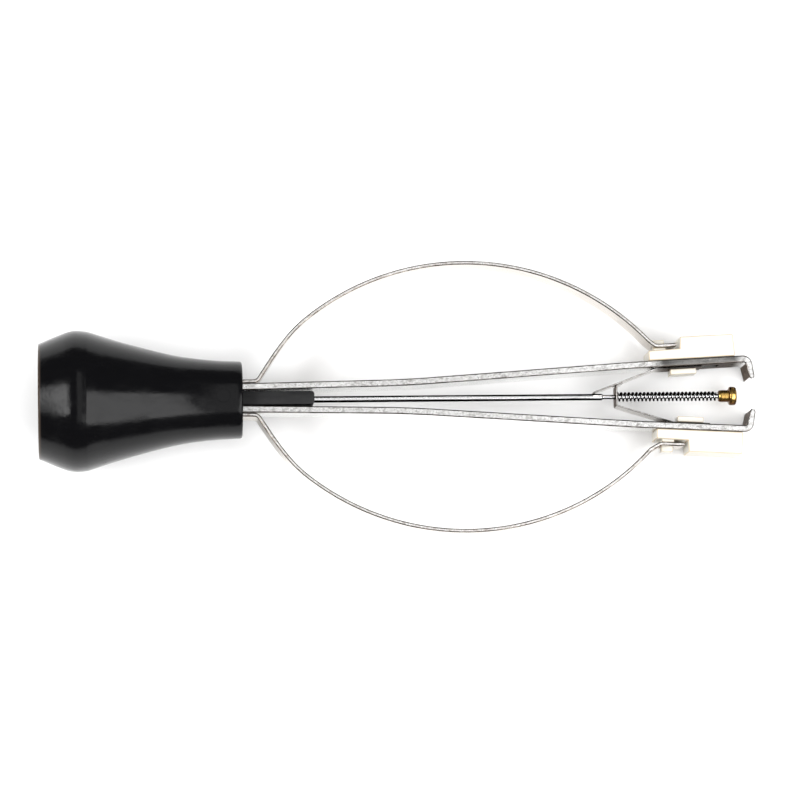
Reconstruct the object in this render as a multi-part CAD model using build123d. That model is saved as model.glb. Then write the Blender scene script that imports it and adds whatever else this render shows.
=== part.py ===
from build123d import *
import math
import os

os.makedirs("parts", exist_ok=True)

# Hand-lifting tool for small gauges and clocks, in mm.
# X runs along the tool from the flat butt to the claws, the two bows spread in +Y and -Y, Z is up.
# The upper side is +Y and the lower side is its mirror, apart from the feet and the return leaves.

# Handle: a turned plastic bell with a long neck
BUTT_R = 7.5
CONE_X = 2.9
BELL_OUTLINE = [(2.9, 8.65), (3.7, 8.98), (4.7, 9.13), (5.9, 9.05), (6.8, 8.84), (9.9, 7.84)]
NECK_OUTLINE = [(14.1, 6.68), (18.2, 5.72), (22.4, 5.19), (26.25, 5.0)]
NECK_X = 26.25
SOCKET_REAR_X = 13.5
MOUTH_LAND = 1.4
TAIL_PLAY = 0.45

# Retaining pin across the neck
PIN_X = 23.7
PIN_R = 0.55
PIN_HEAD_R = 1.0
PIN_RECESS_R = 1.1
PIN_HALF_LENGTH = 4.83
PIN_HEAD_HEIGHT = 0.45

# Guide core between the arms
CORE_REAR_X = 14.0
CORE_FRONT_X = 35.55
CORE_HALF_Y = 0.85
CORE_HALF_Z = 2.3

# Arms: nearly parallel beside the core, opening from mid-length, easing off again under the feet
TAIL_X = 18.0
BEND_X = 26.2
ARM_INNER_Y = 1.0
MID_BEND = (47.5, 1.38)
FRONT_BEND = (77.0, 3.4)
ARM_ANGLE = 2.85
ARM_BEND_R = 150.0
ARM_THICK = 0.9
ARM_HALF_Z = 2.5
CLAW_FRONT_LEAN = 6.0
CLAW_REAR_LEAN = 16.0
CLAW_TIP_THICK = 0.7
CLAW_TIP_Y = 2.0
CLAW_FRONT_X = 93.3
CLAW_BEND_R = 1.3
SLOT_HALF_Z = 1.1
FOOT_TRAVEL = 3.0

# Bows
BOW_THICK = 0.48
BOW_HALF_Z = 2.3
BOW_R = 33.0
BOW_CENTRE = (55.2, -15.5)
BOW_ROOT_X = 28.19
BOW_ROOT_SLOPE = 57.0
BOW_ARC_REAR_X = 34.5
BOW_ARC_FRONT_X = 79.2
BOW_STRIP_X = 80.15

# Nylon feet, lengths counted forward from each foot's rear end
UPPER_FOOT_X = 79.25
LOWER_FOOT_X = 80.05
FOOT_LENGTH = 11.3
FOOT_HALF_Z = 2.6
FOOT_FLOOR = 1.35
FOOT_HEIGHT = 2.9
FOOT_BLOCK_START = 4.15
PAD_HEIGHT = 0.33
STUD_START = 0.85
STUD_LENGTH = 1.5
STUD_HEIGHT = 2.8
RIB_START = 3.0
RIB_LENGTH = 3.1
HEAD_DEPTH = 0.95
SLIDE_GAP = 0.03

# Return leaves
LEAF_THICK = 0.18
LEAF_HALF_Z = 1.5
TAB_END = 7.0
UPPER_LEAF_BEND_X = 80.1
LOWER_LEAF_BEND_X = 82.3
LEAF_TAIL = (72.05, 0.46)
PLATE_X = 75.0
PLATE_HALF_Y = 1.3
PLATE_HOLE_R = 0.34

# Plunger
ROD_REAR_X = 29.0
ROD_SHOULDER_X = 73.3
ROD_R = 0.42
ROD_THIN_R = 0.28
CORE_BORE_R = 0.47
CORE_BORE_REAR_X = 27.0
CAP_REAR_X = 88.5
CAP_FLANGE_X = 89.85
CAP_FRONT_X = 90.85
CAP_BODY_R = 0.78
CAP_FLANGE_R = 1.22
SPRING_REAR_X = 75.25
SPRING_FRONT_X = 88.3
SPRING_MEAN_R = 0.5
SPRING_WIRE_R = 0.13
SPRING_WIRE_SIDES = 8
SPRING_COILS = 26

SLOPE = math.radians(ARM_ANGLE)


def arm_y(x, t):
    """Y on the front of the upper arm at x, a distance t outward from its inner face."""
    return FRONT_BEND[1] + math.tan(SLOPE) * (x - FRONT_BEND[0]) + t / math.cos(SLOPE)


def arm_frame(x, t=0.0):
    """Plane on the upper arm at x, its X axis along the arm and its Y axis outward."""
    return Plane(
        origin=(x, arm_y(x, t), 0),
        x_dir=(math.cos(SLOPE), math.sin(SLOPE), 0),
        z_dir=(0, 0, 1),
    )


def block(frame, u0, u1, t0, t1, half_z):
    """Box in an arm frame, u along the arm, t outward."""
    size = Box(u1 - u0, t1 - t0, 2 * half_z)
    return frame * Pos((u0 + u1) / 2, (t0 + t1) / 2, 0) * size


def on_x(shape):
    """Turn a shape built along Z so that it lies along X."""
    return Rot(0, 90, 0) * shape


def cylinder_x(radius, x0, x1):
    return Pos((x0 + x1) / 2, 0, 0) * on_x(Cylinder(radius, x1 - x0))


def strip(path, thickness, half_z):
    """Sheet-metal strip that follows a flat path."""
    section = Plane(path @ 0, x_dir=(0, 0, 1), z_dir=path % 0) * Rectangle(2 * half_z, thickness)
    return sweep(section, path=path)


def round_corner(face, point, radius):
    vertex = face.vertices().sort_by_distance((point[0], point[1], 0))[0]
    return fillet(vertex, radius)


def make_handle():
    outline = Polyline((NECK_X, 5.0), (NECK_X, 0), (0, 0), (0, BUTT_R), BELL_OUTLINE[0])
    bell = Spline(*(BELL_OUTLINE + NECK_OUTLINE))
    profile = make_face([outline, bell])
    body = revolve(profile, Axis.X, 360)
    rim = body.edges().filter_by(GeomType.CIRCLE).group_by(Axis.X)
    body = fillet(rim[-1], 0.25)
    butt = body.edges().filter_by(GeomType.CIRCLE).group_by(Axis.X)
    body = chamfer(butt[0], 0.12)
    stack_y = ARM_INNER_Y + ARM_THICK + BOW_THICK + 0.04
    mouth = Pos(NECK_X, 0, 0) * Box(4 * MOUTH_LAND, 2 * stack_y, 2 * ARM_HALF_Z + 0.08)
    inner_x = NECK_X - MOUTH_LAND
    inner_length = inner_x - SOCKET_REAR_X
    inner = Pos((SOCKET_REAR_X + inner_x) / 2, 0, 0) * Box(
        inner_length, 2 * (stack_y + TAIL_PLAY), 2 * ARM_HALF_Z + 0.08
    )
    pin_hole = Pos(PIN_X, 0, 0) * Cylinder(PIN_R, 20)
    body = body - mouth - inner - pin_hole
    for side in (1, -1):
        recess_z = side * (PIN_HALF_LENGTH - PIN_HEAD_HEIGHT + 1.0)
        body = body - Pos(PIN_X, 0, recess_z) * Cylinder(PIN_RECESS_R, 2.0)
    return body


def make_pin():
    """Rivet with a formed head sunk into each side of the neck."""
    pin = Cylinder(PIN_R, 2 * PIN_HALF_LENGTH)
    for side in (1, -1):
        head = Cylinder(PIN_HEAD_R, PIN_HEAD_HEIGHT)
        pin = pin + Pos(0, 0, side * (PIN_HALF_LENGTH - PIN_HEAD_HEIGHT / 2)) * head
    ends = pin.edges().group_by(Axis.Z)
    pin = chamfer(ends[-1] + ends[0], 0.15)
    return Pos(PIN_X, 0, 0) * pin


def make_core():
    length = CORE_FRONT_X - CORE_REAR_X
    bar = Box(length, 2 * CORE_HALF_Y, 2 * CORE_HALF_Z)
    front = bar.edges().filter_by(Axis.Z).group_by(Axis.X)[-1]
    bar = Pos((CORE_REAR_X + CORE_FRONT_X) / 2, 0, 0) * fillet(front, 0.4)
    bore = cylinder_x(CORE_BORE_R, CORE_BORE_REAR_X, CORE_FRONT_X + 1)
    return bar - bore - Pos(PIN_X, 0, 0) * Cylinder(PIN_R, 20)


def arm_slot(foot_x):
    start = RIB_START - 0.2
    end = RIB_START + RIB_LENGTH + FOOT_TRAVEL + 0.2
    return block(arm_frame(foot_x), start, end, -1, ARM_THICK + 1, SLOT_HALF_Z)


def make_arm(foot_x):
    tip_front = (CLAW_FRONT_X - 0.24, CLAW_TIP_Y)
    tip_rear = (tip_front[0] - CLAW_TIP_THICK, CLAW_TIP_Y + 0.05)

    def claw_x(tip, lean, y):
        return tip[0] - math.tan(math.radians(lean)) * (y - tip[1])

    outer_x = claw_x(tip_front, CLAW_FRONT_LEAN, arm_y(92.0, ARM_THICK))
    outer = (outer_x, arm_y(outer_x, ARM_THICK))
    inner_x = claw_x(tip_rear, CLAW_REAR_LEAN, arm_y(91.0, 0))
    inner = (inner_x, arm_y(inner_x, 0))
    bends = [(BEND_X, ARM_INNER_Y), MID_BEND, FRONT_BEND]
    outer_bends = [(x, y + ARM_THICK) for x, y in bends]
    points = [
        (TAIL_X, ARM_INNER_Y),
        *bends,
        inner,
        tip_rear,
        tip_front,
        outer,
        *reversed(outer_bends),
        (TAIL_X, ARM_INNER_Y + ARM_THICK),
    ]
    face = make_face(Polyline(*points, close=True))
    for point, radius in ((outer, CLAW_BEND_R), (inner, 0.3), (tip_front, 0.35), (tip_rear, 0.25)):
        face = round_corner(face, point, radius)
    for point in bends + outer_bends:
        face = round_corner(face, point, ARM_BEND_R)
    arm = extrude(face, ARM_HALF_Z, both=True)
    pin_slot = Pos(PIN_X, 0, 0) * Cylinder(PIN_R + 0.2, 20)
    return arm - arm_slot(foot_x) - pin_slot


def bow_circle_y(x):
    return BOW_CENTRE[1] + math.sqrt(BOW_R**2 - (x - BOW_CENTRE[0]) ** 2)


def bow_circle_slope(x):
    dx = x - BOW_CENTRE[0]
    return -dx / math.sqrt(BOW_R**2 - dx**2)


def make_bow(foot_x):
    mid = ARM_THICK + BOW_THICK / 2 + 0.01
    end_mid = ARM_THICK + FOOT_FLOOR + PAD_HEIGHT + BOW_THICK / 2 + 0.01
    tan_root = math.tan(math.radians(BOW_ROOT_SLOPE))
    root_rise = (MID_BEND[1] - ARM_INNER_Y) / (MID_BEND[0] - BEND_X)
    root = (BOW_ROOT_X, ARM_INNER_Y + mid + root_rise * (BOW_ROOT_X - BEND_X))
    leg = (BOW_ROOT_X + 0.75, root[1] + 0.75 * tan_root)
    rear = (BOW_ARC_REAR_X, bow_circle_y(BOW_ARC_REAR_X))
    front = (BOW_ARC_FRONT_X, bow_circle_y(BOW_ARC_FRONT_X))
    strip_x = BOW_STRIP_X + (foot_x - UPPER_FOOT_X) / 2
    end_x = foot_x + 3.55
    root_line = FilletPolyline(
        (TAIL_X, ARM_INNER_Y + mid), (BEND_X, ARM_INNER_Y + mid), root, leg, radius=0.9
    )
    leg_line = Spline(
        leg, rear, tangents=[(1, tan_root), (1, bow_circle_slope(BOW_ARC_REAR_X))]
    )
    crown = (BOW_CENTRE[0], BOW_CENTRE[1] + BOW_R)
    arc = ThreePointArc(rear, crown, front)
    end_line = FilletPolyline(
        front, (strip_x, arm_y(strip_x, end_mid)), (end_x, arm_y(end_x, end_mid)), radius=0.9
    )
    path = Wire(root_line.edges() + leg_line.edges() + arc.edges() + end_line.edges())
    bow = strip(path, BOW_THICK, BOW_HALF_Z)
    window = block(
        arm_frame(foot_x), STUD_START - 0.12, STUD_START + STUD_LENGTH + 0.12, 2.2, 4.2, 1.05
    )
    pin_slot = Pos(PIN_X, 0, 0) * Cylinder(PIN_R + 0.2, 20)
    return bow - window - pin_slot


def make_foot(foot_x):
    frame = arm_frame(foot_x)
    base = ARM_THICK + SLIDE_GAP
    floor = ARM_THICK + FOOT_FLOOR
    top = ARM_THICK + FOOT_HEIGHT
    outline = [
        (0, base),
        (FOOT_LENGTH, base),
        (FOOT_LENGTH, top),
        (FOOT_BLOCK_START + 0.1, top),
        (FOOT_BLOCK_START, floor),
        (0, floor),
    ]
    profile = make_face(Polyline(*outline, close=True))
    profile = round_corner(profile, outline[2], 0.2)
    profile = round_corner(profile, outline[3], 0.2)
    profile = round_corner(profile, outline[4], 0.3)
    profile = round_corner(profile, outline[5], 0.25)
    body = frame * extrude(profile, FOOT_HALF_Z, both=True)
    pad_end = STUD_START + STUD_LENGTH
    pad = block(frame, STUD_START - 0.05, pad_end + 0.05, floor - 0.2, floor + PAD_HEIGHT, 1.9)
    stud = block(frame, STUD_START, pad_end, floor, ARM_THICK + STUD_HEIGHT, 0.95)
    rib = block(frame, RIB_START, RIB_START + RIB_LENGTH, -HEAD_DEPTH + 0.2, base + 0.2, 0.95)
    head_start = RIB_START - 0.15
    head_end = RIB_START + RIB_LENGTH + 0.15
    head_top = -SLIDE_GAP - LEAF_THICK - 0.04
    head = block(frame, head_start, head_end, -HEAD_DEPTH, head_top, 1.35)
    return body + pad + stud + rib + head


def leaf_window(foot_x):
    return block(arm_frame(foot_x), RIB_START - 0.1, RIB_START + RIB_LENGTH + 0.1, -0.6, 0.6, 1.05)


def make_upper_leaf(foot_x):
    mid = -SLIDE_GAP - LEAF_THICK / 2
    tab_x = foot_x + TAB_END
    path = FilletPolyline(
        (tab_x, arm_y(tab_x, mid)),
        (UPPER_LEAF_BEND_X, arm_y(UPPER_LEAF_BEND_X, mid)),
        LEAF_TAIL,
        radius=0.5,
    )
    return strip(Wire(path.edges()), LEAF_THICK, LEAF_HALF_Z) - leaf_window(foot_x)


def make_lower_leaf(foot_x):
    """Built on the lower side: tab on the arm, leg, cross plate, small top flange."""
    mid = -SLIDE_GAP - LEAF_THICK / 2
    tab_x = foot_x + TAB_END
    upper_slope = (arm_y(UPPER_LEAF_BEND_X, mid) - LEAF_TAIL[1]) / (UPPER_LEAF_BEND_X - LEAF_TAIL[0])
    under_leaf = LEAF_TAIL[1] + upper_slope * (PLATE_X - LEAF_TAIL[0]) - LEAF_THICK - 0.03
    path = FilletPolyline(
        (tab_x, -arm_y(tab_x, mid)),
        (LOWER_LEAF_BEND_X, -arm_y(LOWER_LEAF_BEND_X, mid)),
        (PLATE_X, -PLATE_HALF_Y),
        (PLATE_X, under_leaf),
        (PLATE_X + 0.8, under_leaf + 0.8 * upper_slope),
        radius=0.22,
    )
    leaf = strip(Wire(path.edges()), LEAF_THICK, LEAF_HALF_Z)
    hole = cylinder_x(PLATE_HOLE_R, PLATE_X - 0.5, PLATE_X + 0.5)
    return leaf - hole - mirror(leaf_window(foot_x), Plane.XZ)


def make_rod():
    thick = cylinder_x(ROD_R, ROD_REAR_X, ROD_SHOULDER_X)
    thick = chamfer(thick.edges().group_by(Axis.X)[-1], 0.06)
    thin = cylinder_x(ROD_THIN_R, ROD_SHOULDER_X - 0.5, CAP_FRONT_X - 0.4)
    return thick + thin


def make_cap():
    profile = make_face(
        Polyline(
            (CAP_REAR_X, 0),
            (CAP_REAR_X, CAP_BODY_R - 0.1),
            (CAP_REAR_X + 0.25, CAP_BODY_R),
            (CAP_FLANGE_X, CAP_BODY_R),
            (CAP_FLANGE_X, CAP_FLANGE_R),
            (CAP_FRONT_X, CAP_FLANGE_R),
            (CAP_FRONT_X, 0),
            close=True,
        )
    )
    profile = round_corner(profile, (CAP_FLANGE_X, CAP_FLANGE_R), 0.22)
    profile = round_corner(profile, (CAP_FRONT_X, CAP_FLANGE_R), 0.32)
    cap = revolve(profile, Axis.X, 360)
    return cap - cylinder_x(ROD_THIN_R, CAP_REAR_X - 1, CAP_FRONT_X - 0.4)


def make_spring():
    length = SPRING_FRONT_X - SPRING_REAR_X
    path = Helix(pitch=length / SPRING_COILS, height=length, radius=SPRING_MEAN_R)
    section = Plane(path @ 0, z_dir=path % 0) * RegularPolygon(SPRING_WIRE_R, SPRING_WIRE_SIDES)
    coil = sweep(section, path=path, is_frenet=True)
    return Pos(SPRING_REAR_X, 0, 0) * on_x(coil)


def lower(shape):
    return mirror(shape, Plane.XZ)


parts = {
    "handle": make_handle(),
    "retaining_pin": make_pin(),
    "guide_core": make_core(),
    "upper_arm": make_arm(UPPER_FOOT_X),
    "lower_arm": lower(make_arm(LOWER_FOOT_X)),
    "upper_bow": make_bow(UPPER_FOOT_X),
    "lower_bow": lower(make_bow(LOWER_FOOT_X)),
    "upper_foot": make_foot(UPPER_FOOT_X),
    "lower_foot": lower(make_foot(LOWER_FOOT_X)),
    "upper_return_leaf": make_upper_leaf(UPPER_FOOT_X),
    "lower_return_leaf": make_lower_leaf(LOWER_FOOT_X),
    "plunger_rod": make_rod(),
    "plunger_spring": make_spring(),
    "plunger_cap": make_cap(),
}

for name, shape in parts.items():
    solids = shape.solids()
    print(name, len(solids), round(shape.volume, 2), shape.bounding_box())
    export_step(solids[0] if len(solids) == 1 else shape, f"parts/{name}.step")
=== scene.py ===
import math

import bmesh
import bpy
from mathutils import Matrix, Vector


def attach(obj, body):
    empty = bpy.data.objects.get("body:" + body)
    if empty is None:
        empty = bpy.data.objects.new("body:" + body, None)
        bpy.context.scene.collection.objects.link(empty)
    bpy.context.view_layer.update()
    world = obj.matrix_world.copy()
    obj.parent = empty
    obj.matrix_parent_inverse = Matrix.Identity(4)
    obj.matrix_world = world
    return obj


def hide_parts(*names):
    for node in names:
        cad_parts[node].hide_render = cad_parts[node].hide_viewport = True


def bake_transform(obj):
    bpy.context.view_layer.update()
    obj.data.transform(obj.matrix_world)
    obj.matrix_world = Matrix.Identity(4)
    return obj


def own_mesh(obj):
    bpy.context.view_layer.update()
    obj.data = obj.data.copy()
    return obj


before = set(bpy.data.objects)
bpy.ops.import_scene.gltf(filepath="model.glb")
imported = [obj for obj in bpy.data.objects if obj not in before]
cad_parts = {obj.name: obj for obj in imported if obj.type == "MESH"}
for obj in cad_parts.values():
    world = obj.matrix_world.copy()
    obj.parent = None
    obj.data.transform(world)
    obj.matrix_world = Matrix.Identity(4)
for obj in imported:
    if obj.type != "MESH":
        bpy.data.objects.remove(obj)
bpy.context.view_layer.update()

MM = 0.001

# Sizes in millimetres, in the row frame: X along the tool, bows in +Y and -Y, Z up
RING_X = 4.7
HANDLE_R = 9.13
NECK_X = 22.4
NECK_R = 5.19
NECK_TAPER = 0.0535
MOUTH_REAR_X = 23.0
RIVET_X = 23.7
RIVET_R = 0.86
RECESS_Z = 4.3

CORE_REAR_X = 22.0
CORE_FRONT_X = 35.55
CORE_HALF_Y = 0.85
CORE_HALF_Z = 2.3
CORE_NOSE_R = 0.4
CORE_BORE_R = 0.47

ARM_ANGLE = math.radians(2.85)
ARM_INNER_Y = 1.0
ARM_THICK = 0.9
ARM_HALF_Z = 2.5
ARM_BEND_R = 150.0
TAIL_X = 18.0
BEND_X = 26.2
MID_BEND = (47.5, 1.38)
FRONT_BEND = (77.0, 3.4)
FRONT_RUN_X = 84.0
SLOT_START = 2.8
SLOT_END = 9.3
SLOT_HALF_Z = 1.1

CLAW_LEAN = math.radians(11.0)
CLAW_REAR_X = 90.8
CLAW_CORNER_X = 91.0
CLAW_FRONT_X = 93.0
CLAW_BEND_R = 0.85
CLAW_TIP_THICK = 0.7
CLAW_TIP_Y = 2.0

BOW_THICK = 0.48
BOW_HALF_Z = 2.3
BOW_R = 33.0
BOW_CENTRE = (55.2, -15.5)
BOW_ARC_REAR_X = 34.5
BOW_ARC_FRONT_X = 79.2
BOW_ROOT_X = 28.19
BOW_LEG = 0.75
BOW_LEG_SLOPE = math.tan(math.radians(57))
BOW_LANDING_X = 80.15
BOW_BEND_R = 0.9
BOW_OVERLAP = 3.4

UPPER_FOOT_X = 79.25
LOWER_FOOT_X = 80.05
FOOT_LENGTH = 11.3
FOOT_HALF_Z = 2.6
FOOT_FLOOR = 1.35
FOOT_HEIGHT = 2.9
PAD_RISE = 0.33
STUD_HEIGHT = 2.8
STUD_HALF_Z = 0.95
SLIDE_GAP = 0.03

LEAF_THICK = 0.18
LEAF_HALF_Z = 1.5
LEAF_TAB = 7.0
UPPER_LEAF_BEND_X = 80.1
LEAF_TAIL = (72.05, 0.46)
LOWER_LEAF_BEND_X = 82.3
PLATE_X = 75.0
PLATE_FOOT_Y = -1.3
PLATE_LIP = 0.8
PLATE_HOLE_R = 0.34

ROD_R = 0.42
ROD_THIN_R = 0.28
ROD_REAR_X = 29.0
ROD_STEP_X = 73.3
ROD_FRONT_X = 89.8
SPRING_REAR_X = 75.25
SPRING_FRONT_X = 88.3
SPRING_COILS = 26
SPRING_MEAN_R = 0.5
SPRING_WIRE_R = 0.13


# ---------------------------------------------------------------- mesh helpers

# In radians: a bend in a path below the first stays sharp, and each step of an arc turns at most the second
LEAST_TURN = 0.02
WIDEST_TURN = 0.12


def add_object(name, mesh):
    obj = bpy.data.objects.new(name, mesh)
    bpy.context.scene.collection.objects.link(obj)
    return obj


def mesh_object(name, verts, faces):
    """Object from vertices in millimetres."""
    mesh = bpy.data.meshes.new(name)
    mesh.from_pydata([(x * MM, y * MM, z * MM) for x, y, z in verts], [], faces)
    mesh.validate()
    bm = bmesh.new()
    bm.from_mesh(mesh)
    bmesh.ops.recalc_face_normals(bm, faces=bm.faces)
    bm.to_mesh(mesh)
    bm.free()
    return add_object(name, mesh)


def apply_modifiers(obj):
    bpy.context.view_layer.update()
    graph = bpy.context.evaluated_depsgraph_get()
    mesh = bpy.data.meshes.new_from_object(obj.evaluated_get(graph))
    obj.modifiers.clear()
    obj.data = mesh


def smooth(obj, angle=30.0):
    for poly in obj.data.polygons:
        poly.use_smooth = True
    obj.data.set_sharp_from_angle(angle=math.radians(angle))


def bevel(obj, width, segments=3, angle=35.0):
    mod = obj.modifiers.new("bevel", "BEVEL")
    mod.width = width * MM
    mod.segments = segments
    mod.limit_method = "ANGLE"
    mod.angle_limit = math.radians(angle)
    mod.harden_normals = False
    apply_modifiers(obj)
    smooth(obj, 50.0)


def cut(obj, *tools):
    for tool in tools:
        mod = obj.modifiers.new("cut", "BOOLEAN")
        mod.operation = "DIFFERENCE"
        mod.solver = "EXACT"
        mod.object = tool
    apply_modifiers(obj)
    for tool in tools:
        bpy.data.objects.remove(tool)


def join_solids(obj, *others):
    for other in others:
        mod = obj.modifiers.new("join", "BOOLEAN")
        mod.operation = "UNION"
        mod.solver = "EXACT"
        mod.object = other
    apply_modifiers(obj)
    for other in others:
        bpy.data.objects.remove(other)


def tube_faces(rings, around):
    """Faces that join rings of vertices laid one after another, with both ends closed."""
    faces = []
    for i in range(rings - 1):
        for k in range(around):
            n = (k + 1) % around
            faces.append((i * around + k, i * around + n, (i + 1) * around + n, (i + 1) * around + k))
    last = (rings - 1) * around
    faces.append(tuple(range(around)))
    faces.append(tuple(last + k for k in range(around)))
    return faces


def path_points(corners, radius, step):
    """Line through the corners, each rounded to the radius, as points about a step apart."""
    points = [Vector(corners[0])]

    def walk_to(target):
        start = points[-1]
        count = max(1, int((target - start).length / step))
        for i in range(1, count + 1):
            points.append(start.lerp(target, i / count))

    for before, corner, after in zip(corners, corners[1:], corners[2:]):
        before, corner, after = Vector(before), Vector(corner), Vector(after)
        d_in = (corner - before).normalized()
        d_out = (after - corner).normalized()
        turn = d_in.angle(d_out)
        if turn < LEAST_TURN:
            walk_to(corner)
            continue
        reach = radius * math.tan(turn / 2)
        walk_to(corner - d_in * reach)
        side = 1 if d_in.cross(d_out) > 0 else -1
        normal = Vector((-d_in.y, d_in.x)) * side
        centre = points[-1] + normal * radius
        count = max(3, int(turn * radius / step), int(turn / WIDEST_TURN))
        for i in range(1, count + 1):
            a = turn * i / count
            points.append(centre - normal * radius * math.cos(a) + d_in * radius * math.sin(a))
    walk_to(Vector(corners[-1]))
    return points


def strip(name, path, thickness, half_z, corner, round_start=False, round_end=False):
    """Flat strip that follows a path in the XY plane, its four long corners rounded to a radius.
    thickness is a number or a function of the point."""
    count = len(path)
    stations = []
    for i, point in enumerate(path):
        ahead = path[min(i + 1, count - 1)] - path[max(i - 1, 0)]
        ahead.normalize()
        thick = thickness(point) if callable(thickness) else thickness
        stations.append((point, Vector((-ahead.y, ahead.x)), thick))

    def nose(station, direction):
        """Stations past an end that round it off, short of closing to a line."""
        point, normal, thick = station
        out = []
        for k in range(1, 5):
            a = math.pi / 2 * k / 4.6
            out.append((point + direction * thick / 2 * math.sin(a), normal, thick * math.cos(a)))
        return out

    if round_end:
        direction = (path[-1] - path[-2]).normalized()
        stations += nose(stations[-1], direction)
    if round_start:
        direction = (path[0] - path[1]).normalized()
        stations = nose(stations[0], direction)[::-1] + stations
    verts = []
    steps = 3
    for point, normal, thick in stations:
        radius = min(corner, 0.4 * thick)
        for quarter, (side, up) in enumerate(((1, 1), (-1, 1), (-1, -1), (1, -1))):
            for k in range(steps + 1):
                a = math.pi / 2 * (quarter + k / steps)
                out = side * (thick / 2 - radius) + radius * math.cos(a)
                place = point + normal * out
                verts.append((place.x, place.y, up * (half_z - radius) + radius * math.sin(a)))
    return mesh_object(name, verts, tube_faces(len(stations), 4 * (steps + 1)))


def dress_strip(obj):
    """Smooth shading with clean borders between a strip's flat faces and its rounded corners."""
    bm = bmesh.new()
    bm.from_mesh(obj.data)
    bm.normal_update()

    def kind(face):
        """2 on the sheared edges, 0 on the rolled faces, 1 on the rounded corners between them."""
        up = abs(face.normal.z)
        return 2 if up > 0.999 else 0 if up < 0.001 else 1

    for face in bm.faces:
        face.smooth = True
    for edge in bm.edges:
        pair = edge.link_faces
        edge.smooth = (len(pair) == 2 and kind(pair[0]) == kind(pair[1])
                       and pair[0].normal.angle(pair[1].normal, 0) < 0.7)
    bm.to_mesh(obj.data)
    bm.free()


def turned(name, outline, segments=96):
    """Solid of revolution about X from (x, radius) points, closed at both ends."""
    verts = []
    for x, r in outline:
        for k in range(segments):
            a = 2 * math.pi * k / segments
            verts.append((x, r * math.cos(a), r * math.sin(a)))
    return mesh_object(name, verts, tube_faces(len(outline), segments))


def prism(name, outline, half_z):
    """Outline in the XY plane carried from -half_z to half_z."""
    count = len(outline)
    verts = [(x, y, -half_z) for x, y in outline] + [(x, y, half_z) for x, y in outline]
    faces = [tuple(range(count)), tuple(range(count, 2 * count))]
    for i in range(count):
        n = (i + 1) % count
        faces.append((i, n, count + n, count + i))
    return mesh_object(name, verts, faces)


def mirrored(obj):
    """Turn an upper piece into the lower one."""
    for vert in obj.data.vertices:
        vert.co.y = -vert.co.y
    obj.data.flip_normals()
    return obj


def arm_y(x, t):
    """Y on the front of the upper arm at x, a distance t outward from its inner face."""
    return FRONT_BEND[1] + math.tan(ARM_ANGLE) * (x - FRONT_BEND[0]) + t / math.cos(ARM_ANGLE)


def on_arm(foot_x, u, t):
    """Point u along the arm from a foot's rear end and t out from the arm's inner face."""
    c, s = math.cos(ARM_ANGLE), math.sin(ARM_ANGLE)
    return (foot_x + u * c - t * s, arm_y(foot_x, 0) + u * s + t * c)


def arm_box(name, foot_x, along, out, half_z):
    """Block between two places along the arm and two distances out from its inner face."""
    (rear, front), (inner, outer) = along, out
    corners = ((rear, inner), (front, inner), (front, outer), (rear, outer))
    return prism(name, [on_arm(foot_x, u, t) for u, t in corners], half_z)


# ---------------------------------------------------------------- materials

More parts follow.
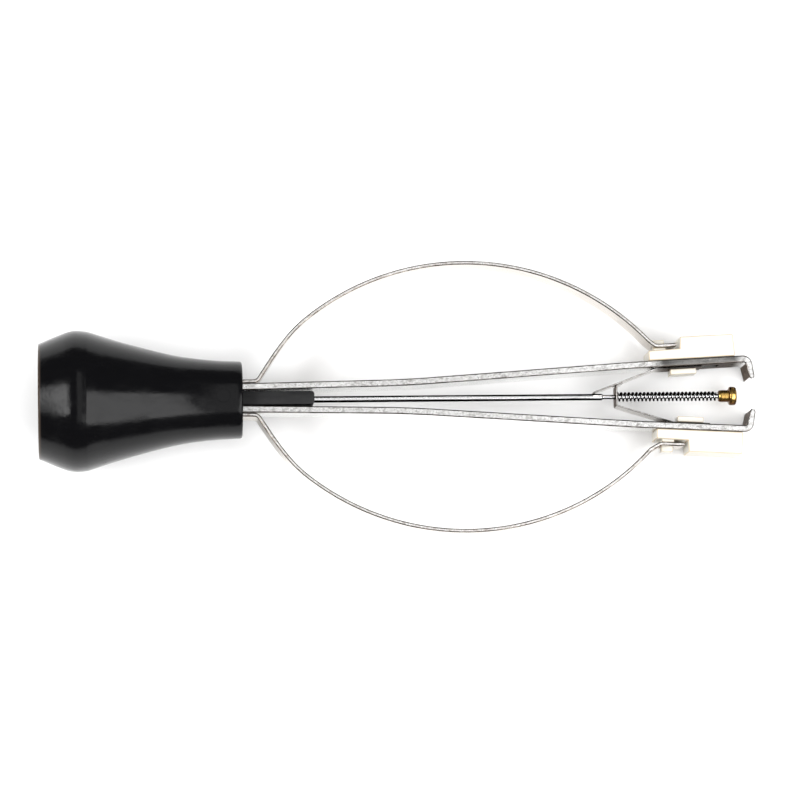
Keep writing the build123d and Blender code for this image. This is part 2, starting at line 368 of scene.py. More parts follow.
class Nodes:
    """Small helper around a material's node tree."""

    def __init__(self, name):
        self.material = bpy.data.materials.new(name)
        self.material.use_nodes = True
        self.tree = self.material.node_tree
        self.shader = self.tree.nodes["Principled BSDF"]
        self.coords = self.tree.nodes.new("ShaderNodeTexCoord").outputs["Object"]

    def set(self, **values):
        for key, value in values.items():
            self.shader.inputs[key.replace("_", " ")].default_value = value

    def link(self, source, target):
        self.tree.links.new(source, target)

    def stretched(self, scale):
        node = self.tree.nodes.new("ShaderNodeMapping")
        node.inputs["Scale"].default_value = scale
        self.link(self.coords, node.inputs["Vector"])
        return node.outputs["Vector"]

    def noise(self, scale, detail=4.0, rough=0.55, vector=None, distortion=0.0):
        node = self.tree.nodes.new("ShaderNodeTexNoise")
        node.inputs["Scale"].default_value = scale
        node.inputs["Detail"].default_value = detail
        node.inputs["Roughness"].default_value = rough
        node.inputs["Distortion"].default_value = distortion
        self.link(vector or self.coords, node.inputs["Vector"])
        return node.outputs["Fac"]

    def voronoi(self, scale, feature="F1"):
        node = self.tree.nodes.new("ShaderNodeTexVoronoi")
        node.feature = feature
        node.inputs["Scale"].default_value = scale
        self.link(self.coords, node.inputs["Vector"])
        return node.outputs["Distance"]

    def ramp(self, source, *stops):
        node = self.tree.nodes.new("ShaderNodeValToRGB")
        elements = node.color_ramp.elements
        while len(elements) < len(stops):
            elements.new(0.5)
        for element, (place, colour) in zip(elements, stops):
            element.position = place
            element.color = (*colour, 1) if len(colour) == 3 else colour
        self.link(source, node.inputs["Fac"])
        return node.outputs["Color"]

    def span(self, source, low, high, new_low, new_high):
        node = self.tree.nodes.new("ShaderNodeMapRange")
        node.inputs["From Min"].default_value = low
        node.inputs["From Max"].default_value = high
        node.inputs["To Min"].default_value = new_low
        node.inputs["To Max"].default_value = new_high
        self.link(source, node.inputs["Value"])
        return node.outputs["Result"]

    def math(self, kind, a, b):
        node = self.tree.nodes.new("ShaderNodeMath")
        node.operation = kind
        for socket, value in zip(node.inputs, (a, b)):
            if isinstance(value, (int, float)):
                socket.default_value = value
            else:
                self.link(value, socket)
        return node.outputs["Value"]

    def mix(self, factor, a, b):
        node = self.tree.nodes.new("ShaderNodeMix")
        node.data_type = "RGBA"
        self.link(factor, node.inputs[0])
        for socket, value in ((node.inputs[6], a), (node.inputs[7], b)):
            if isinstance(value, tuple):
                socket.default_value = (*value, 1)
            else:
                self.link(value, socket)
        return node.outputs[2]

    def mix_value(self, factor, a, b):
        node = self.tree.nodes.new("ShaderNodeMix")
        for socket, value in zip((node.inputs[0], node.inputs[2], node.inputs[3]), (factor, a, b)):
            self.link(value, socket)
        return node.outputs[0]

    def axis(self, name):
        node = self.tree.nodes.new("ShaderNodeSeparateXYZ")
        self.link(self.coords, node.inputs["Vector"])
        return node.outputs[name]

    def radius(self):
        """Distance from the tool's long axis."""
        node = self.tree.nodes.new("ShaderNodeVectorMath")
        node.operation = "LENGTH"
        self.link(self.stretched((0, 1, 1)), node.inputs[0])
        return node.outputs["Value"]

    def normal_axis(self, name):
        """Component of the surface normal in the object's own frame."""
        texture = self.tree.nodes.new("ShaderNodeTexCoord")
        node = self.tree.nodes.new("ShaderNodeSeparateXYZ")
        self.link(texture.outputs["Normal"], node.inputs["Vector"])
        return node.outputs[name]

    def bump(self, height, distance, strength=1.0):
        node = self.tree.nodes.new("ShaderNodeBump")
        node.inputs["Strength"].default_value = strength
        node.inputs["Distance"].default_value = distance * MM
        self.link(height, node.inputs["Height"])
        self.link(node.outputs["Normal"], self.shader.inputs["Normal"])


def handle_material():
    m = Nodes("glossy_black_plastic")
    m.set(Metallic=0.0, IOR=1.3)
    scuffs = m.noise(900, 6, 0.65, m.stretched((0.35, 1, 1)))
    haze = m.noise(160, 3)
    rough = m.math("ADD", m.span(scuffs, 0.42, 0.7, 0.12, 0.27), m.span(haze, 0.3, 0.7, -0.02, 0.05))
    m.link(rough, m.shader.inputs["Roughness"])
    specks = m.voronoi(900)
    dust = m.span(specks, 0.02, 0.09, 1.0, 0.0)
    rub = m.span(m.noise(420, 4), 0.6, 0.68, 0.0, 1.0)
    patchy = m.math("MULTIPLY", dust, rub)
    base = m.mix(patchy, (0.0025, 0.0025, 0.003), (0.05, 0.048, 0.045))
    rim = m.span(m.radius(), 7.1 * MM, 7.3 * MM, 0.0, 1.0)
    edge = m.math("MULTIPLY", rim, m.span(m.axis("X"), 0.05 * MM, 0.4 * MM, 1.0, 0.0))
    m.link(m.mix(edge, base, (0.075, 0.055, 0.042)), m.shader.inputs["Base Color"])
    grain = m.noise(2600, 3)
    waves = m.math("MULTIPLY", m.noise(130, 2, 0.4), 9.0)
    m.bump(m.math("ADD", waves, m.math("ADD", m.math("MULTIPLY", grain, 0.8), scuffs)), 0.012, 0.85)
    return m.material


def core_material():
    m = Nodes("matte_black_bar")
    m.set(Metallic=0.0)
    grain = m.noise(1500, 6, 0.7, m.stretched((0.3, 1, 1)))
    body = m.ramp(grain, (0.3, (0.004, 0.004, 0.005)), (0.75, (0.014, 0.014, 0.014)))
    # Painted shade: every face but the top and bottom, rounded corners included, turns near black and
    # reflects less.
    corner = m.span(m.math("ABSOLUTE", m.normal_axis("Z"), 0.0), 0.97, 0.8, 0.0, 1.0)
    m.link(m.mix(corner, body, (0.001, 0.001, 0.001)), m.shader.inputs["Base Color"])
    m.link(m.span(corner, 0.0, 1.0, 0.35, 0.05), m.shader.inputs["Specular IOR Level"])
    m.link(m.span(grain, 0.2, 0.8, 0.38, 0.6), m.shader.inputs["Roughness"])
    m.bump(grain, 0.03, 0.6)
    return m.material


def sheared_steel(name, face, dark, edge_tone, painted_corner_shade, mottling, front=None, one_side=False,
                  bright_edge=(0.93, 0.93, 0.92)):
    """Plated strip: bright rolled faces, mottled sheared edges (the faces turned to +Z and -Z), a painted
    shade line along each corner and painted shade on the heels. front is a stretch of X with a stain and
    painted shadow, and their tone."""
    m = Nodes(name)
    up = m.math("ABSOLUTE", m.normal_axis("Z"), 0.0)
    on_edge = m.span(up, 0.975, 0.995, 0.0, 1.0)
    on_face = m.span(up, 0.2, 0.08, 0.0, 1.0)
    flat = m.math("MAXIMUM", on_edge, on_face)
    patches = m.noise(3000, 5, 0.7, m.stretched((0.7, 1, 0.5)), 0.4)
    clouds = m.noise(260, 3, 0.5, m.stretched((0.5, 1, 1)))
    mottle = m.math("ADD", m.math("MULTIPLY", patches, 0.85), m.math("MULTIPLY", clouds, 0.15))
    rolled = m.noise(520, 5, 0.6, m.stretched((0.12, 1, 1)))
    fine = m.noise(4200, 4, 0.7)
    face_colour = m.ramp(rolled, (0.25, dark), (0.6, face))
    edge_colour = m.ramp(mottle, (0.5 - mottling, edge_tone), (0.5 + mottling, bright_edge))
    skin = m.mix(on_edge, face_colour, edge_colour)
    # Painted shade on the heels: faces turned to -X take a dark brown mottled tone.
    painted_shade_heel = m.span(m.normal_axis("X"), -0.75, -0.9, 0.0, 0.85)
    skin = m.mix(painted_shade_heel, skin, m.ramp(patches, (0.38, (0.06, 0.045, 0.035)), (0.62, (0.34, 0.29, 0.245))))
    shaded = painted_shade_heel
    # Over the front stretch: darker streaks on the sheared edges, partly stain and partly painted shade, and
    # a near-black painted shadow on the rolled faces.
    if front:
        start, end, tone = front
        fade = 1.2 * MM
        place = m.math("ADD", m.axis("X"), m.math("MULTIPLY", clouds, MM))
        stain_and_shade = m.math("MULTIPLY", m.span(place, start, start + fade, 0.0, 1.0),
                         m.span(place, end, end - fade, 0.0, 0.92))
        if one_side:
            stain_and_shade = m.math("MULTIPLY", stain_and_shade, m.span(m.axis("Y"), 0.0, MM, 0.0, 1.0))
        streaks = m.noise(1300, 5, 0.6, m.stretched((0.15, 1, 1)))
        edge_stain_and_shade = m.ramp(streaks, (0.35, tuple(0.2 * c for c in tone)), (0.68, tone))
        face_painted_shadow = m.ramp(streaks, (0.4, (0.012, 0.009, 0.007)), (0.66, (0.16, 0.13, 0.11)))
        skin = m.mix(stain_and_shade, skin, m.mix(on_face, edge_stain_and_shade, face_painted_shadow))
        shaded = m.math("MAXIMUM", painted_shade_heel, m.math("MULTIPLY", stain_and_shade, on_face))
    # Painted shade: a dark line along each rounded corner, broken up by noise.
    patchy = m.span(m.noise(700, 4, 0.6), 0.35, 0.6, 0.45, 1.0)
    plain = m.math("MAXIMUM", flat, m.math("SUBTRACT", 1.0, patchy))
    m.link(m.mix(plain, painted_corner_shade, skin), m.shader.inputs["Base Color"])
    # Painted shade also dims the reflections on the heels, the shadowed faces and the corner lines.
    shaded = m.math("MAXIMUM", shaded, m.math("SUBTRACT", 1.0, plain))
    m.link(m.mix(shaded, (1.0, 1.0, 1.0), (0.14, 0.11, 0.09)), m.shader.inputs["Specular Tint"])
    m.link(m.span(on_edge, 0.0, 1.0, 1.0, 0.72), m.shader.inputs["Metallic"])
    smooth_face = m.span(rolled, 0.3, 0.7, 0.14, 0.26)
    rough_edge = m.span(patches, 0.35, 0.65, 0.46, 0.24)
    m.link(m.mix_value(on_edge, smooth_face, rough_edge), m.shader.inputs["Roughness"])
    relief = m.math("ADD", m.math("MULTIPLY", patches, on_edge), m.math("MULTIPLY", fine, 0.2))
    m.bump(relief, 0.07, 0.8)
    return m.material


def wire_material(name, colour, painted_flank_shade, rough):
    """Drawn wire or ground rod: bright along the top and bottom, with painted shade on its flanks."""
    m = Nodes(name)
    m.set(Metallic=1.0, Specular_Tint=(0.15, 0.15, 0.15, 1))
    up = m.math("ABSOLUTE", m.normal_axis("Z"), 0.0)
    streak = m.noise(2400, 4, 0.6, m.stretched((0.2, 1, 1)))
    # Painted shade: the flanks, turned away from straight up and down, take the dark flank colour.
    painted_shading = m.span(m.math("ADD", up, m.math("MULTIPLY", streak, 0.15)), 0.93, 1.02, 0.0, 1.0)
    m.link(m.mix(painted_shading, painted_flank_shade, colour), m.shader.inputs["Base Color"])
    m.link(m.span(streak, 0.3, 0.7, rough, rough + 0.1), m.shader.inputs["Roughness"])
    m.bump(streak, 0.006, 0.4)
    return m.material


def brass_material():
    m = Nodes("turned_brass")
    m.set(Metallic=1.0)
    rings = m.noise(5200, 2, 0.5, m.stretched((1, 0.04, 0.04)))
    tarnish = m.noise(1400, 4, 0.6)
    colour = m.mix(m.span(tarnish, 0.42, 0.7, 0.0, 0.7), (0.9, 0.58, 0.17), (0.5, 0.24, 0.06))
    up = m.math("ABSOLUTE", m.normal_axis("Z"), 0.0)
    # Painted shade: dark brown on the flanks, turned away from straight up and down, broken up by the tarnish
    # noise.
    painted_shading = m.span(m.math("ADD", up, m.math("MULTIPLY", tarnish, 0.2)), 1.0, 0.68, 0.0, 0.93)
    colour = m.mix(painted_shading, colour, (0.12, 0.05, 0.018))
    m.link(colour, m.shader.inputs["Base Color"])
    m.link(m.span(rings, 0.3, 0.7, 0.16, 0.3), m.shader.inputs["Roughness"])
    m.bump(rings, 0.012, 0.6)
    return m.material


def nylon_material():
    m = Nodes("ivory_nylon")
    m.set(Metallic=0.0, IOR=1.53, Subsurface_Weight=0.15, Subsurface_Scale=0.0006)
    m.set(Subsurface_Radius=(1.0, 0.75, 0.5))
    cloud = m.noise(240, 4)
    fine = m.noise(2600, 4, 0.6)
    base = m.ramp(cloud, (0.3, (0.7, 0.665, 0.585)), (0.7, (0.75, 0.727, 0.66)))
    up = m.math("ABSOLUTE", m.normal_axis("Z"), 0.0)
    along = m.math("ABSOLUTE", m.normal_axis("X"), 0.0)
    across = m.math("ABSOLUTE", m.normal_axis("Y"), 0.0)
    flat = m.math("MAXIMUM", up, m.math("MAXIMUM", along, across))
    # Painted shade: a warm darker tone on the rounded corners between the flat faces.
    corner = m.span(m.math("ADD", flat, m.math("MULTIPLY", cloud, 0.08)), 1.0, 0.93, 0.0, 0.75)
    base = m.mix(corner, base, (0.55, 0.42, 0.25))
    speck = m.span(m.voronoi(330), 0.035, 0.075, 1.0, 0.0)
    sparse = m.span(m.noise(260, 2), 0.56, 0.6, 0.0, 0.7)
    m.link(m.mix(m.math("MULTIPLY", speck, sparse), base, (0.45, 0.26, 0.1)), m.shader.inputs["Base Color"])
    m.link(m.span(fine, 0.3, 0.7, 0.36, 0.5), m.shader.inputs["Roughness"])
    m.bump(fine, 0.012, 0.35)
    return m.material


MATERIALS = {
    "handle_plastic": handle_material(),
    "core_plastic": core_material(),
    # Upper arm's front stretch: darker streaks on the sheared edge and a painted shadow on the rolled faces.
    "arm_steel": sheared_steel("stamped_arm_steel", (0.93, 0.93, 0.92), (0.7, 0.7, 0.69),
                               (0.3, 0.29, 0.28), (0.13, 0.11, 0.095), 0.14,
                               front=(80.3 * MM, 92.2 * MM, (0.2, 0.195, 0.185)), one_side=True),
    "bow_steel": sheared_steel("bow_spring_steel", (0.7, 0.65, 0.59), (0.5, 0.45, 0.4),
                               (0.36, 0.32, 0.29), (0.07, 0.048, 0.036), 0.14),
    # Leaf's front stretch: painted shade over the tab beside the arm.
    "leaf_steel": sheared_steel("thin_leaf_steel", (0.75, 0.72, 0.69), (0.48, 0.45, 0.42),
                                (0.25, 0.22, 0.2), (0.06, 0.05, 0.042), 0.12,
                                front=(80.6 * MM, 100 * MM, (0.05, 0.045, 0.04))),
    "rod_steel": wire_material("ground_rod_steel", (0.97, 0.97, 0.98), (0.012, 0.011, 0.01), 0.16),
    "spring_steel": wire_material("spring_wire", (0.95, 0.95, 0.96), (0.02, 0.018, 0.016), 0.18),
    "brass": brass_material(),
    "nylon": nylon_material(),
}


def finish_piece(obj, body, slot, *nodes):
    obj.data.materials.clear()
    obj.data.materials.append(MATERIALS[slot])
    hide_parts(*nodes)
    if body:
        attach(obj, body)
    return obj


# ---------------------------------------------------------------- handle

def curve_through(points, per_span):
    """Catmull-Rom line through (x, radius) points."""
    pts = [Vector(p) for p in points]
    pts = [pts[0] * 2 - pts[1]] + pts + [pts[-1] * 2 - pts[-2]]
    out = []
    for i in range(1, len(pts) - 2):
        for k in range(per_span):
            t = k / per_span
            a, b, c, d = pts[i - 1:i + 3]
            out.append(0.5 * (2 * b + (c - a) * t + (2 * a - 5 * b + 4 * c - d) * t * t
                              + (3 * b - a - 3 * c + d) * t ** 3))
    out.append(pts[-2])
    return [(p.x, p.y) for p in out]


def build_handle():
    bell = [(2.9, 8.65), (3.7, 8.935), (RING_X, HANDLE_R), (5.9, 9.05), (6.8, 8.84), (9.9, 7.84)]
    neck = [(14.1, 6.68), (18.2, 5.72), (NECK_X, NECK_R), (25.95, 5.0)]
    outline = [(0, 6.9), (0, 7.2), (0, 7.38), (0.06, 7.46), (0.2, 7.52), (1.5, 8.08)]
    outline += curve_through(bell + neck, 8)
    outline += [(26.1, 4.96), (26.21, 4.86), (26.25, 4.7), (26.25, 4.5)]
    body = turned("handle_bell", outline, 160)
    stack_y = ARM_INNER_Y + ARM_THICK + BOW_THICK + 0.04
    outside_x = 30.0
    square = [(MOUTH_REAR_X, -stack_y), (outside_x, -stack_y), (outside_x, stack_y), (MOUTH_REAR_X, stack_y)]
    mouth = prism("mouth_tool", square, ARM_HALF_Z + 0.04)
    recesses = []
    for side in (1, -1):
        recess = turned("recess_tool", [(0.3, RIVET_R + 0.03), (2.0, RIVET_R + 0.03)], 48)
        recess.data.transform(Matrix.Rotation(-side * math.pi / 2, 4, "Y"))
        recess.data.transform(Matrix.Translation((RIVET_X * MM, 0, side * RECESS_Z * MM)))
        recesses.append(recess)
    cut(body, mouth, *recesses)
    smooth(body, 32)
    finish_piece(body, "handle", "handle_plastic", "handle")
    finish_piece(build_rivet(), "handle", "handle_plastic", "retaining_pin")


def build_rivet():
    """Rivet across the neck, both heads dressed down to the neck's own curve, just short of flush."""
    sunk = 0.015

    def head_height(x, y):
        neck_r = NECK_R - NECK_TAPER * (x - NECK_X)
        return math.sqrt(neck_r ** 2 - y ** 2) - sunk

    rings, spokes = 6, 48
    verts, faces = [], []
    for side in (1, -1):
        verts.append((RIVET_X, 0, side * head_height(RIVET_X, 0)))
        for ring in range(1, rings + 1):
            for k in range(spokes):
                a = 2 * math.pi * k / spokes
                x = RIVET_X + RIVET_R * ring / rings * math.cos(a)
                y = RIVET_R * ring / rings * math.sin(a)
                verts.append((x, y, side * head_height(x, y)))
    half = 1 + rings * spokes
    for start in (0, half):
        for k in range(spokes):
            n = (k + 1) % spokes
            faces.append((start, start + 1 + k, start + 1 + n))
            for ring in range(rings - 1):
                low = start + 1 + ring * spokes
                faces.append((low + k, low + spokes + k, low + spokes + n, low + n))
    rim = 1 + (rings - 1) * spokes
    for k in range(spokes):
        n = (k + 1) % spokes
        faces.append((rim + k, rim + n, half + rim + n, half + rim + k))
    pin = mesh_object("neck_rivet", verts, faces)
    smooth(pin, 40)
    return pin


def build_core():
    nose_x = CORE_FRONT_X - CORE_NOSE_R
    nose_y = CORE_HALF_Y - CORE_NOSE_R
    outline = [(CORE_REAR_X, -CORE_HALF_Y)]
    for first, centre_y in ((-math.pi / 2, -nose_y), (0, nose_y)):
        for k in range(7):
            a = first + math.pi / 2 * k / 6
            outline.append((nose_x + CORE_NOSE_R * math.cos(a), centre_y + CORE_NOSE_R * math.sin(a)))
    outline.append((CORE_REAR_X, CORE_HALF_Y))
    core = prism("guide_bar", outline, CORE_HALF_Z)
    bore = turned("bore_tool", [(CORE_FRONT_X - 2.55, CORE_BORE_R), (CORE_FRONT_X + 0.95, CORE_BORE_R)], 32)
    cut(core, bore)
    bevel(core, 0.16, 2)
    finish_piece(core, "handle", "core_plastic", "guide_core")


# ---------------------------------------------------------------- steel strips

def claw_taper(point):
    """Thickness of an arm at a point on its middle line: the claw thins toward its tip."""
    if point.x < CLAW_REAR_X:
        return ARM_THICK
    left = (point.y - CLAW_TIP_Y) / (arm_y(CLAW_CORNER_X, ARM_THICK / 2) - CLAW_TIP_Y)
    return CLAW_TIP_THICK + (ARM_THICK - CLAW_TIP_THICK) * min(1.0, max(0.0, left))


def build_arm(side, foot_x):
    """Arm from its tail in the neck to the claw's tip, with the slot that the foot's rib runs in."""
    mid = ARM_THICK / 2
    half_tip = CLAW_TIP_THICK / 2
    tip = (CLAW_FRONT_X - half_tip, CLAW_TIP_Y + half_tip)
    corner_x = tip[0]
    for _ in range(3):
        corner_x = tip[0] - math.tan(CLAW_LEAN) * (arm_y(corner_x, mid) - tip[1])
    corner = (corner_x, arm_y(corner_x, mid))
    bends = [(BEND_X, ARM_INNER_Y), MID_BEND, FRONT_BEND]
    halfway = (FRONT_RUN_X, arm_y(FRONT_RUN_X, mid))
    line = [(TAIL_X, ARM_INNER_Y + mid), *((x, y + mid) for x, y in bends), halfway]
    path = path_points(line, ARM_BEND_R, step=0.45)
    path += path_points([halfway, corner, tip], CLAW_BEND_R, step=0.2)[1:]
    arm = strip(f"{side}_arm_strip", path, claw_taper, ARM_HALF_Z, corner=0.15, round_end=True)
    cut(arm, arm_box("slot_tool", foot_x, (SLOT_START, SLOT_END), (-1, ARM_THICK + 1), SLOT_HALF_Z))
    dress_strip(arm)
    if side == "lower":
        mirrored(arm)
    finish_piece(arm, f"{side}_arm", "arm_steel", f"{side}_arm")


def hermite(t, start, start_way, end, end_way):
    """Point at t, from 0 to 1, on the smooth curve between two points with the given directions."""
    return (start * (2 * t ** 3 - 3 * t ** 2 + 1) + start_way * (t ** 3 - 2 * t ** 2 + t)
            + end * (3 * t ** 2 - 2 * t ** 3) + end_way * (t ** 3 - t ** 2))


def on_bow_arc(x):
    """Point of the upper bow's arc at x, and the arc's direction there."""
    dx = x - BOW_CENTRE[0]
    high = math.sqrt(BOW_R ** 2 - dx ** 2)
    return Vector((x, BOW_CENTRE[1] + high)), Vector((1, -dx / high)).normalized()


def bow_path(foot_x):
    """Middle line of the upper bow: root beside the arm, leg, arc, and landing on the foot's pad."""
    mid = ARM_THICK + BOW_THICK / 2 + 0.02
    end_mid = ARM_THICK + FOOT_FLOOR + PAD_RISE + BOW_THICK / 2 + 0.01
    root_rise = (MID_BEND[1] - ARM_INNER_Y) / (MID_BEND[0] - BEND_X)
    root = Vector((BOW_ROOT_X, ARM_INNER_Y + mid + root_rise * (BOW_ROOT_X - BEND_X)))
    leg = root + Vector((BOW_LEG, BOW_LEG * BOW_LEG_SLOPE))
    corners = [(TAIL_X, ARM_INNER_Y + mid), (BEND_X, ARM_INNER_Y + mid), root, leg]
    points = path_points(corners, BOW_BEND_R, step=0.4)

    rear, rear_way = on_bow_arc(BOW_ARC_REAR_X)
    leg_way = Vector((1, BOW_LEG_SLOPE)).normalized()
    reach = (rear - leg).length
    for k in range(1, 16):
        points.append(hermite(k / 16, leg, leg_way * reach, rear, rear_way * reach))

    start = math.asin((BOW_ARC_REAR_X - BOW_CENTRE[0]) / BOW_R)
    end = math.asin((BOW_ARC_FRONT_X - BOW_CENTRE[0]) / BOW_R)
    for k in range(100):
        a = start + (end - start) * k / 100
        points.append(Vector((BOW_CENTRE[0] + BOW_R * math.sin(a), BOW_CENTRE[1] + BOW_R * math.cos(a))))

    landing_x = BOW_LANDING_X + (foot_x - UPPER_FOOT_X) / 2
    end_x = foot_x + BOW_OVERLAP
    front = on_bow_arc(BOW_ARC_FRONT_X)[0]
    corners = [front, (landing_x, arm_y(landing_x, end_mid)), (end_x, arm_y(end_x, end_mid))]
    return points + path_points(corners, BOW_BEND_R, step=0.2)


def build_bow(side, foot_x):
    bow = strip(f"{side}_bow_leaf", bow_path(foot_x), BOW_THICK, BOW_HALF_Z, corner=0.13, round_end=True)
    cut(bow, arm_box("window_tool", foot_x, (0.73, 2.47), (2.2, 4.2), STUD_HALF_Z + 0.1))
    dress_strip(bow)
    if side == "lower":
        mirrored(bow)
    finish_piece(bow, None, "bow_steel", f"{side}_bow")
    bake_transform(bow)


def tab_window(foot_x):
    """Tool for the hole in a leaf's tab, which the foot's rib passes through."""
    return arm_box("tab_tool", foot_x, (2.9, 6.2), (-0.6, 0.6), STUD_HALF_Z + 0.1)


def build_leaves():
    """Upper leaf with its tail past the rod, and lower leaf with the plate that the spring rests on."""
    mid = -SLIDE_GAP - LEAF_THICK / 2
    bend_y = arm_y(UPPER_LEAF_BEND_X, mid)
    tab_x = UPPER_FOOT_X + LEAF_TAB
    corners = [(tab_x, arm_y(tab_x, mid)), (UPPER_LEAF_BEND_X, bend_y), LEAF_TAIL]
    path = path_points(corners, radius=0.5, step=0.3)
    leaf = strip("upper_leaf_strip", path, LEAF_THICK, LEAF_HALF_Z, corner=0.05, round_start=True)
    cut(leaf, tab_window(UPPER_FOOT_X))
    dress_strip(leaf)
    finish_piece(leaf, None, "leaf_steel", "upper_return_leaf")
    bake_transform(leaf)

    slope = (bend_y - LEAF_TAIL[1]) / (UPPER_LEAF_BEND_X - LEAF_TAIL[0])
    under = LEAF_TAIL[1] + slope * (PLATE_X - LEAF_TAIL[0]) - LEAF_THICK - 0.03
    tab_x = LOWER_FOOT_X + LEAF_TAB
    corners = [
        (tab_x, -arm_y(tab_x, mid)),
        (LOWER_LEAF_BEND_X, -arm_y(LOWER_LEAF_BEND_X, mid)),
        (PLATE_X, PLATE_FOOT_Y),
        (PLATE_X, under),
        (PLATE_X + PLATE_LIP, under + PLATE_LIP * slope),
    ]
    path = path_points(corners, radius=0.25, step=0.3)
    plate = strip("lower_leaf_strip", path, LEAF_THICK, LEAF_HALF_Z, corner=0.05, round_start=True)
    hole = turned("hole_tool", [(PLATE_X - 0.5, PLATE_HOLE_R), (PLATE_X + 0.5, PLATE_HOLE_R)], 32)
    cut(plate, mirrored(tab_window(LOWER_FOOT_X)), hole)
    dress_strip(plate)
    finish_piece(plate, None, "leaf_steel", "lower_return_leaf")
    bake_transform(plate)


# ---------------------------------------------------------------- feet

def build_foot(side, foot_x):
    """Nylon foot, laid out along its arm from the foot's rear end and out from the arm's inner face."""
    base = ARM_THICK + SLIDE_GAP
    floor = ARM_THICK + FOOT_FLOOR
    top = ARM_THICK + FOOT_HEIGHT
    under_leaf = -SLIDE_GAP - LEAF_THICK - 0.04
    step = 4.2
    profile = ((0, base), (FOOT_LENGTH, base), (FOOT_LENGTH - 0.05, top),
               (step + 0.05, top), (step - 0.05, floor), (0, floor - 0.05))
    foot = prism(f"{side}_foot_block", [on_arm(foot_x, u, t) for u, t in profile], FOOT_HALF_Z)
    bevel(foot, 0.17, 3)
    extras = [
        arm_box("pad", foot_x, (0.8, 2.4), (floor - 0.2, floor + PAD_RISE), 1.9),
        arm_box("stud", foot_x, (0.85, 2.35), (floor - 0.1, ARM_THICK + STUD_HEIGHT), STUD_HALF_Z),
        arm_box("rib", foot_x, (3.0, 6.1), (-0.75, base + 0.2), STUD_HALF_Z),
        arm_box("head", foot_x, (2.85, 6.25), (-0.95, under_leaf), 1.35),
    ]
    for extra in extras:
        bevel(extra, 0.09, 2)
    join_solids(foot, *extras)
    smooth(foot, 50.0)
    if side == "lower":
        mirrored(foot)
    finish_piece(foot, f"{side}_foot", "nylon", f"{side}_foot")


# ---------------------------------------------------------------- plunger

def build_rod():
    outline = [(ROD_REAR_X, ROD_R), (ROD_STEP_X - 0.1, ROD_R), (ROD_STEP_X, 0.34)]
    outline += [(ROD_STEP_X, ROD_THIN_R), (ROD_FRONT_X, ROD_THIN_R)]
    rod = turned("plunger_pin", outline, 32)
    smooth(rod, 30)
    finish_piece(rod, "plunger", "rod_steel", "plunger_rod")


def build_cap():
    barrel = [(88.5, 0.3), (88.5, 0.62), (88.56, 0.7), (88.75, 0.77), (89.0, 0.79), (89.65, 0.78)]
    flange = [(89.8, 0.8), (89.85, 0.9), (89.86, 1.02), (89.92, 1.14), (90.03, 1.21), (90.18, 1.22)]
    face = [(90.5, 1.22), (90.68, 1.18), (90.8, 1.06), (90.85, 0.88)]
    dimple = [(90.85, 0.5), (90.8, 0.42), (90.75, 0.2)]
    cap = turned("brass_cap", barrel + flange + face + dimple)
    smooth(cap, 38)
    finish_piece(cap, "plunger", "brass", "plunger_cap")


def build_spring():
    """Evenly wound coil of round wire about the thin part of the rod."""
    per_turn, around = 28, 12
    total = per_turn * SPRING_COILS
    verts = []
    for i in range(total + 1):
        turn = 2 * math.pi * i / per_turn
        x = SPRING_REAR_X + (SPRING_FRONT_X - SPRING_REAR_X) * (i / total)
        radial = Vector((0, math.cos(turn), math.sin(turn)))
        centre = Vector((x, 0, 0)) + radial * SPRING_MEAN_R
        for k in range(around):
            a = 2 * math.pi * k / around
            verts.append(tuple(centre + SPRING_WIRE_R * (radial * math.cos(a) + Vector((math.sin(a), 0, 0)))))
    spring = mesh_object("coil_spring", verts, tube_faces(total + 1, around))
    smooth(spring, 60)
    finish_piece(spring, "handle", "spring_steel", "plunger_spring")
    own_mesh(spring)


build_handle()
build_core()
for side_name, foot_place in (("upper", UPPER_FOOT_X), ("lower", LOWER_FOOT_X)):
    build_arm(side_name, foot_place)
    build_bow(side_name, foot_place)
    build_foot(side_name, foot_place)
build_leaves()
build_rod()
build_cap()
build_spring()


# ---------------------------------------------------------------- stage, light and camera

# The tool lies on the handle's widest ring and, at the front, on the feet. Both places are (x, z)
REST_REAR = Vector((RING_X, -HANDLE_R - 0.01))
REST_FRONT = Vector((92.0, -FOOT_HALF_Z - 0.01))
LIE = math.atan2(REST_FRONT.y - REST_REAR.y, REST_FRONT.x - REST_REAR.x)
FLOOR_TURN = Matrix.Rotation(-LIE, 3, "Y")
FLOOR_POINT = Vector((REST_REAR.x, 0, REST_REAR.y)) * MM


def plain_material(name, colour, rough):
    m = Nodes(name)
    m.set(Roughness=rough, Specular_IOR_Level=0.2)
    tone = m.noise(6, 2)
    shade = tuple(c * 0.995 for c in colour)
    m.link(m.ramp(tone, (0.3, colour), (0.7, shade)), m.shader.inputs["Base Color"])
    return m.material


def build_floor():
    half = 0.9
    square = ((-half, -half), (half, -half), (half, half), (-half, half))
    corners = [FLOOR_POINT + FLOOR_TURN @ Vector((x, y, 0)) for x, y in square]
    mesh = bpy.data.meshes.new("floor")
    mesh.from_pydata([tuple(c) for c in corners], [], [(0, 1, 2, 3)])
    floor = add_object("floor", mesh)
    mesh.materials.append(plain_material("pale_floor", (0.95, 0.95, 0.95), 0.6))


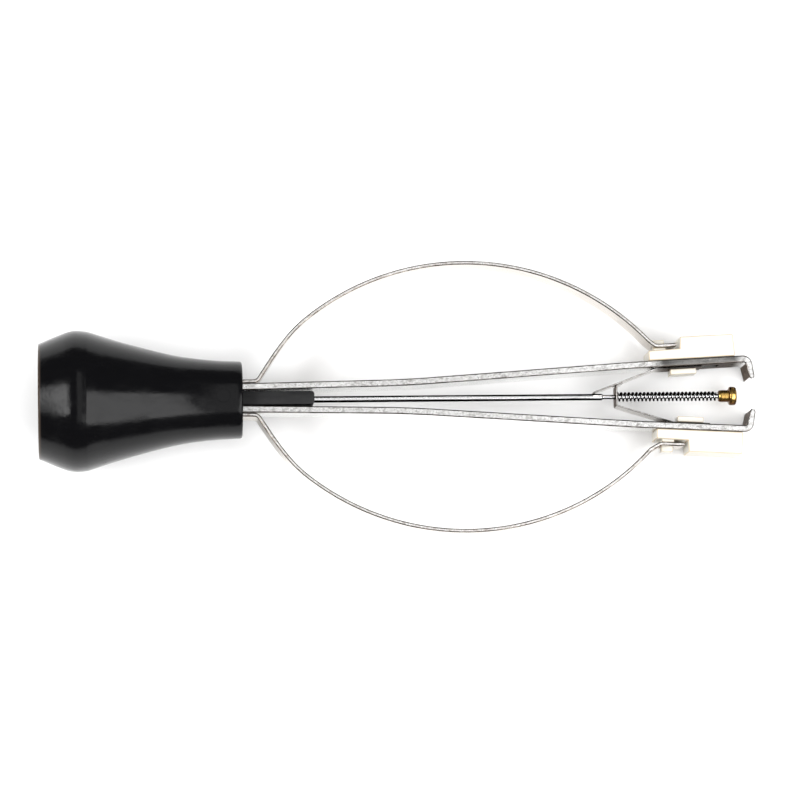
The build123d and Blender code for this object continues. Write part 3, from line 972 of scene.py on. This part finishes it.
def soft_box(name, side, along, radiance, in_gloss=True):
    """Light aimed at the tool. side and along are its lowest and highest angle in degrees from straight up,
    toward +Y and toward +X. radiance is how bright its face looks."""
    centre = Vector((0.047, 0, 0))
    distance = 0.6
    mid_side, mid_along = (math.radians(sum(pair) / 2) for pair in (side, along))
    half_side, half_along = (math.radians(pair[1] - pair[0]) / 2 for pair in (side, along))
    way = Vector((math.tan(mid_along), math.tan(mid_side), 1)).normalized()
    place = centre + way * distance
    data = bpy.data.lights.new(name, "AREA")
    data.shape = "RECTANGLE"
    data.size = 2 * distance * math.tan(half_along)
    data.size_y = 2 * distance * math.tan(half_side)
    data.energy = radiance * data.size * data.size_y * math.pi
    light = bpy.data.objects.new(name, data)
    bpy.context.scene.collection.objects.link(light)
    right = Vector((0, 1, 0)).cross(way).normalized()
    turn = Matrix((right, way.cross(right), way)).transposed()
    light.matrix_world = Matrix.Translation(place) @ turn.to_4x4()
    light.visible_glossy = in_gloss


def build_lights():
    world = bpy.data.worlds.new("studio")
    bpy.context.scene.world = world
    world.use_nodes = True
    background = world.node_tree.nodes["Background"]
    background.inputs["Color"].default_value = (1, 1, 1, 1)
    background.inputs["Strength"].default_value = 0.1
    soft_box("right_box", side=(-46, 7), along=(16, 46), radiance=4.0)
    soft_box("left_box", side=(-26, 18), along=(-50, -33), radiance=7.0)
    soft_box("top_strip", side=(-42, 42), along=(-1, 10), radiance=0.95)
    soft_box("diffuse_fill", side=(-55, 55), along=(-55, 55), radiance=1.08, in_gloss=False)


def build_camera():
    """Camera that looks almost straight down on the floor. view_width is what it takes in at the tool."""
    distance = 0.530
    tilt = math.radians(7.0)
    roll = math.radians(-1.0)
    view_width = 104.0 * MM
    target = Vector((46.8, -0.16, 0)) * MM
    toward = (FLOOR_TURN @ Matrix.Rotation(tilt, 3, "X")) @ Vector((0, 0, 1))
    data = bpy.data.cameras.new("camera")
    data.sensor_width = 36
    data.lens = data.sensor_width * distance / view_width
    data.clip_start = 0.01
    camera = bpy.data.objects.new("camera", data)
    bpy.context.scene.collection.objects.link(camera)
    up = FLOOR_TURN @ (Matrix.Rotation(roll, 3, "Z") @ Vector((0, 1, 0)))
    back = toward.normalized()
    right = up.cross(back).normalized()
    up = back.cross(right)
    turn = Matrix((right, up, back)).transposed()
    camera.matrix_world = Matrix.Translation(target + back * distance) @ turn.to_4x4()
    bpy.context.scene.camera = camera


build_floor()
build_lights()
build_camera()

scene = bpy.context.scene
scene.view_settings.view_transform = "Standard"
